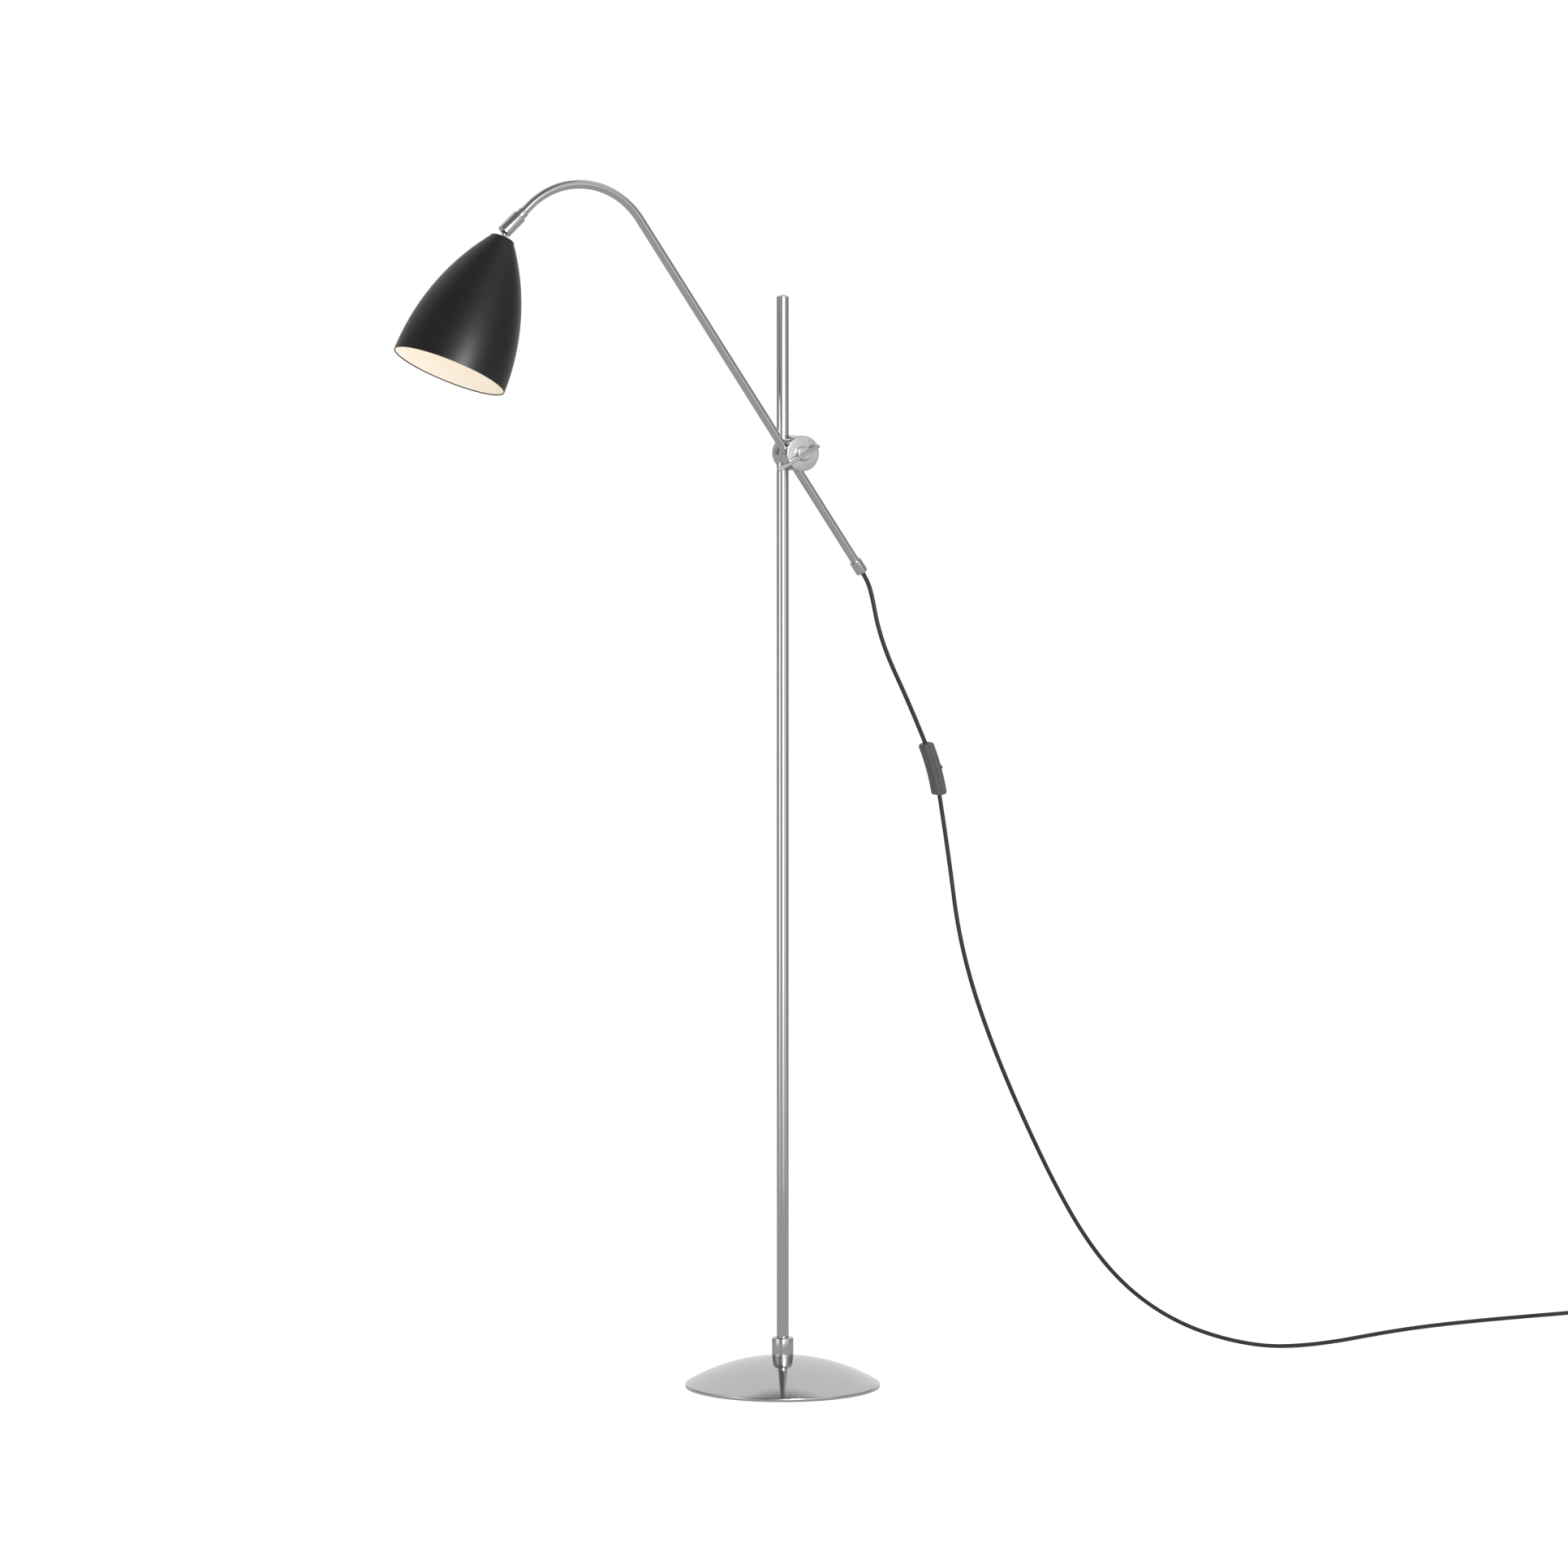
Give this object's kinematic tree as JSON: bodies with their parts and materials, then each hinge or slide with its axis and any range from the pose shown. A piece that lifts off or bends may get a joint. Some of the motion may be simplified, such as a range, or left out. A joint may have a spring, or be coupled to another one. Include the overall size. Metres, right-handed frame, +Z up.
{
  "type": "pharmacy floor lamp",
  "caption": "Slim floor lamp: round weighted foot, plain pole, lever clamp that holds a hooked sliding arm, spun shade on a ball joint, corded in-line switch.",
  "frame": {"origin": "middle of the foot's underside, on the floor under the pole's axis", "axes": "+Z up along the pole; the arm lies in a plane parallel to XZ in front of the pole (towards -Y), its shade towards -X and its lower end and cord towards +X"},
  "size_m": [1.7259, 0.304, 1.3881],
  "materials": {
    "chrome": "polished chrome plate",
    "black_paint": "satin black paint outside, white inside",
    "cast_iron": "rough casting",
    "rubber": "matte",
    "zinc_steel": "zinc plated",
    "spring_steel": "blued spring steel",
    "black_steel": "black oxide",
    "fibre": "vulcanised fibre",
    "nylon": "natural nylon",
    "black_plastic": "satin moulded plastic",
    "switch_plastic": "fine textured moulding",
    "cord_pvc": "smooth PVC sheath",
    "brass": "nickel-flashed brass",
    "frosted_glass": "opal"
  },
  "bodies": {
    "stand": {"base_dome": "chrome", "base_weight": "cast_iron", "base_pad": "rubber", "foot_washer": "zinc_steel", "foot_nut": "zinc_steel", "foot_stud": "zinc_steel", "pole_insert": "zinc_steel", "pole": "chrome", "pole_cap": "chrome", "pole_collar": "chrome", "collar_grub_screw": "black_steel", "cord_lower": "cord_pvc", "cord_coil": "cord_pvc", "coil_tie": "black_plastic", "cord_tail": "cord_pvc", "plug_relief": "black_plastic", "plug_body": "black_plastic", "plug_pins": "brass"},
    "height_bush": {"pole_bush": "nylon"},
    "pole_clamp": {"pole_block": "chrome", "friction_washer": "fibre", "clamp_bolt": "chrome", "switch_front_shell": "switch_plastic", "switch_back_shell": "switch_plastic", "switch_contacts": "brass", "switch_leads": "cord_pvc", "switch_screws": "black_steel", "cord_upper": "cord_pvc"},
    "lever": {"clamp_lever": "chrome", "lever_washer": "nylon"},
    "arm_clamp": {"arm_block": "chrome"},
    "arm_sleeve": {"arm_bush": "nylon"},
    "arm": {"arm_tube": "chrome", "arm_end_collar": "chrome", "cord_grommet": "black_plastic", "arm_flex": "cord_pvc", "neck_ferrule": "chrome", "neck_retainer": "zinc_steel"},
    "neck": {"neck_socket": "chrome", "ball_seat": "nylon", "seat_springs": "spring_steel"},
    "head": {"ball_stud": "chrome", "stud_leads": "cord_pvc", "shade": "black_paint", "lampholder_cap": "black_plastic", "lampholder": "black_plastic", "holder_contact": "brass", "bulb_cap": "brass", "bulb_glass": "frosted_glass"},
    "rocker": {"switch_rocker": "black_plastic"}
  },
  "joints": [
    {"name": "height_slide", "type": "slide", "parent": "stand", "child": "height_bush", "axis": [0, 0, 1], "range_m": [-0.36, 0.14], "deforming": ["cord_lower"]},
    {"name": "pole_swivel", "type": "hinge", "parent": "height_bush", "child": "pole_clamp", "pos_m": [0, 0, 1.078], "axis": [0, 0, 1], "range_deg": [-90, 90], "deforming": ["cord_lower"]},
    {"name": "arm_tilt", "type": "hinge", "parent": "pole_clamp", "child": "arm_clamp", "pos_m": [0.0114, -0.02, 1.078], "axis": [0, -1, 0], "range_deg": [-25, 50], "deforming": ["cord_upper"]},
    {"name": "arm_turn", "type": "hinge", "parent": "arm_clamp", "child": "arm_sleeve", "pos_m": [0.00114, -0.02, 1.07087], "axis": [-0.5707, 0, 0.8211], "range_deg": [-30, 90], "deforming": ["cord_upper"]},
    {"name": "arm_slide", "type": "slide", "parent": "arm_sleeve", "child": "arm", "axis": [-0.5707, 0, 0.8211], "range_m": [-0.15, 0.12], "deforming": ["cord_upper"]},
    {"name": "neck_turn", "type": "hinge", "parent": "arm", "child": "neck", "pos_m": [-0.35318, -0.02, 1.33214], "axis": [-0.7314, 0, -0.682], "range_deg": [-150, 150]},
    {"name": "shade_tilt", "type": "hinge", "parent": "neck", "child": "head", "pos_m": [-0.35318, -0.02, 1.33214], "axis": [-0.0725, -0.9943, 0.0777], "range_deg": [-22, 60]},
    {"name": "lever_turn", "type": "hinge", "parent": "pole_clamp", "child": "lever", "pos_m": [0.0114, -0.035, 1.078], "axis": [0, -1, 0], "range_deg": [0, 120]},
    {"name": "switch_rock", "type": "hinge", "parent": "pole_clamp", "child": "rocker", "pos_m": [0.18943, -0.02, 0.71298], "axis": [0, -1, 0], "range_deg": [0, 16]}
  ]
}
